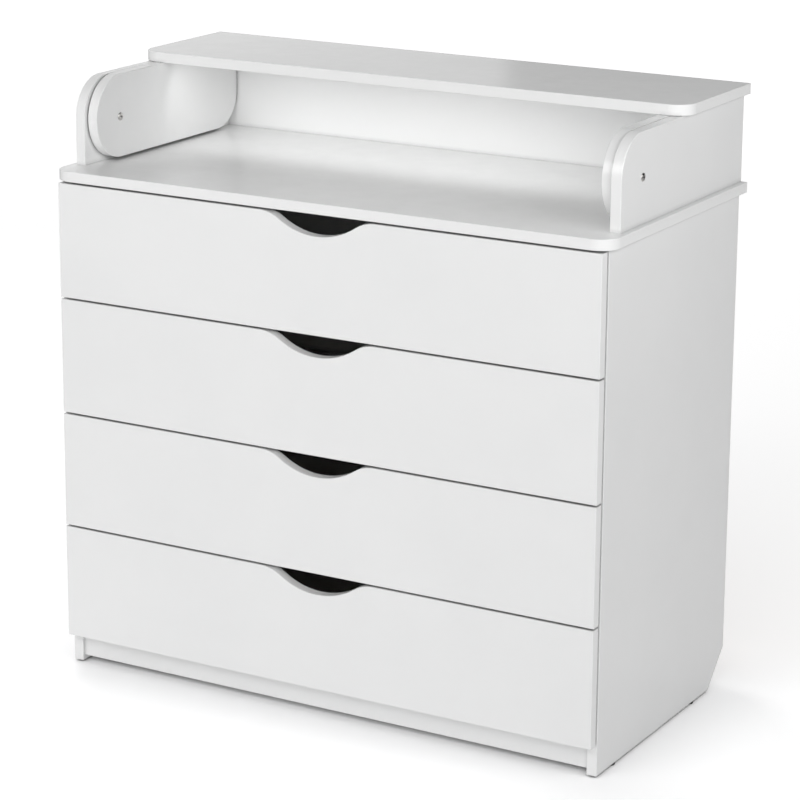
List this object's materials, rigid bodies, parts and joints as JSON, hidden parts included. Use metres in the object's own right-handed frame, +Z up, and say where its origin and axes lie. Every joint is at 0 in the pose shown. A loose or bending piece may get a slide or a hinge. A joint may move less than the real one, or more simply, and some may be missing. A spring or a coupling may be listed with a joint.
{
  "type": "changing dresser",
  "caption": "Dresser with overlay drawers on roller runners and, on its top, a low box with a flap that turns forward to make the changing surface deeper.",
  "frame": {"origin": "on the floor, under the middle of the whole dresser", "axes": "+Z up; +X to the right as seen from the front; the drawer fronts face -Y"},
  "size_m": [0.92, 0.458, 0.9253],
  "materials": {
    "white_board": "satin white laminate",
    "hardboard": "hardboard, white lacquered face",
    "black_plastic": "matte",
    "white_steel": "white powder coat",
    "nylon": "natural nylon",
    "zinc": "dull zinc",
    "nickel": "nickel plate",
    "beech": "bare beech"
  },
  "bodies": {
    "carcass": {"side_panel_left": "white_board", "side_panel_right": "white_board", "worktop": "white_board", "bottom_panel": "white_board", "plinth_front": "white_board", "plinth_back": "white_board", "back_panel": "hardboard", "foot_glides": "black_plastic", "cam_fittings": "zinc", "dowels": "beech", "upper_side_left": "white_board", "upper_side_right": "white_board", "upper_back_wall": "white_board", "pivot_sleeves": "nickel", "pivot_screws": "nickel", "pivot_washers": "nylon", "runner_tracks_1": "white_steel", "runner_tracks_2": "white_steel", "runner_tracks_3": "white_steel", "runner_tracks_4": "white_steel"},
    "flap": {"flap_top": "white_board", "flap_arm_left": "white_board", "flap_arm_right": "white_board", "flap_fittings": "zinc"},
    "drawer_1": {"drawer_1_front": "white_board", "drawer_1_side_left": "white_board", "drawer_1_side_right": "white_board", "drawer_1_back": "white_board", "drawer_1_bottom": "hardboard", "drawer_1_rails": "white_steel", "drawer_1_fasteners": "zinc"},
    "track_wheels_1": {"track_wheels_1": "nylon"},
    "rail_wheels_1": {"rail_wheels_1": "nylon"},
    "drawer_2": {"drawer_2_front": "white_board", "drawer_2_side_left": "white_board", "drawer_2_side_right": "white_board", "drawer_2_back": "white_board", "drawer_2_bottom": "hardboard", "drawer_2_rails": "white_steel", "drawer_2_fasteners": "zinc"},
    "track_wheels_2": {"track_wheels_2": "nylon"},
    "rail_wheels_2": {"rail_wheels_2": "nylon"},
    "drawer_3": {"drawer_3_front": "white_board", "drawer_3_side_left": "white_board", "drawer_3_side_right": "white_board", "drawer_3_back": "white_board", "drawer_3_bottom": "hardboard", "drawer_3_rails": "white_steel", "drawer_3_fasteners": "zinc"},
    "track_wheels_3": {"track_wheels_3": "nylon"},
    "rail_wheels_3": {"rail_wheels_3": "nylon"},
    "drawer_4": {"drawer_4_front": "white_board", "drawer_4_side_left": "white_board", "drawer_4_side_right": "white_board", "drawer_4_back": "white_board", "drawer_4_bottom": "hardboard", "drawer_4_rails": "white_steel", "drawer_4_fasteners": "zinc"},
    "track_wheels_4": {"track_wheels_4": "nylon"},
    "rail_wheels_4": {"rail_wheels_4": "nylon"}
  },
  "joints": [
    {"name": "flap_turn", "type": "hinge", "parent": "carcass", "child": "flap", "pos_m": [0, -0.1115, 0.84465], "axis": [1, 0, 0], "range_deg": [0, 180]},
    {"name": "drawer_1_slide", "type": "slide", "parent": "carcass", "child": "drawer_1", "axis": [0, -1, 0], "range_m": [0, 0.3]},
    {"name": "track_wheels_1_turn", "type": "hinge", "parent": "carcass", "child": "track_wheels_1", "pos_m": [0, -0.197, 0.629], "axis": [1, 0, 0], "range_deg": [0, 2023]},
    {"name": "rail_wheels_1_turn", "type": "hinge", "parent": "drawer_1", "child": "rail_wheels_1", "pos_m": [0, 0.175, 0.6268], "axis": [1, 0, 0], "range_deg": [0, 2023]},
    {"name": "drawer_2_slide", "type": "slide", "parent": "carcass", "child": "drawer_2", "axis": [0, -1, 0], "range_m": [0, 0.3]},
    {"name": "track_wheels_2_turn", "type": "hinge", "parent": "carcass", "child": "track_wheels_2", "pos_m": [0, -0.197, 0.45], "axis": [1, 0, 0], "range_deg": [0, 2023]},
    {"name": "rail_wheels_2_turn", "type": "hinge", "parent": "drawer_2", "child": "rail_wheels_2", "pos_m": [0, 0.175, 0.4478], "axis": [1, 0, 0], "range_deg": [0, 2023]},
    {"name": "drawer_3_slide", "type": "slide", "parent": "carcass", "child": "drawer_3", "axis": [0, -1, 0], "range_m": [0, 0.3]},
    {"name": "track_wheels_3_turn", "type": "hinge", "parent": "carcass", "child": "track_wheels_3", "pos_m": [0, -0.197, 0.271], "axis": [1, 0, 0], "range_deg": [0, 2023]},
    {"name": "rail_wheels_3_turn", "type": "hinge", "parent": "drawer_3", "child": "rail_wheels_3", "pos_m": [0, 0.175, 0.2688], "axis": [1, 0, 0], "range_deg": [0, 2023]},
    {"name": "drawer_4_slide", "type": "slide", "parent": "carcass", "child": "drawer_4", "axis": [0, -1, 0], "range_m": [0, 0.3]},
    {"name": "track_wheels_4_turn", "type": "hinge", "parent": "carcass", "child": "track_wheels_4", "pos_m": [0, -0.197, 0.092], "axis": [1, 0, 0], "range_deg": [0, 2023]},
    {"name": "rail_wheels_4_turn", "type": "hinge", "parent": "drawer_4", "child": "rail_wheels_4", "pos_m": [0, 0.175, 0.0898], "axis": [1, 0, 0], "range_deg": [0, 2023]}
  ],
  "couplings": [
    {"joint": "track_wheels_1_turn", "follows": "drawer_1_slide", "rad_per_m": 117.65},
    {"joint": "rail_wheels_1_turn", "follows": "drawer_1_slide", "rad_per_m": 117.65},
    {"joint": "track_wheels_2_turn", "follows": "drawer_2_slide", "rad_per_m": 117.65},
    {"joint": "rail_wheels_2_turn", "follows": "drawer_2_slide", "rad_per_m": 117.65},
    {"joint": "track_wheels_3_turn", "follows": "drawer_3_slide", "rad_per_m": 117.65},
    {"joint": "rail_wheels_3_turn", "follows": "drawer_3_slide", "rad_per_m": 117.65},
    {"joint": "track_wheels_4_turn", "follows": "drawer_4_slide", "rad_per_m": 117.65},
    {"joint": "rail_wheels_4_turn", "follows": "drawer_4_slide", "rad_per_m": 117.65}
  ]
}
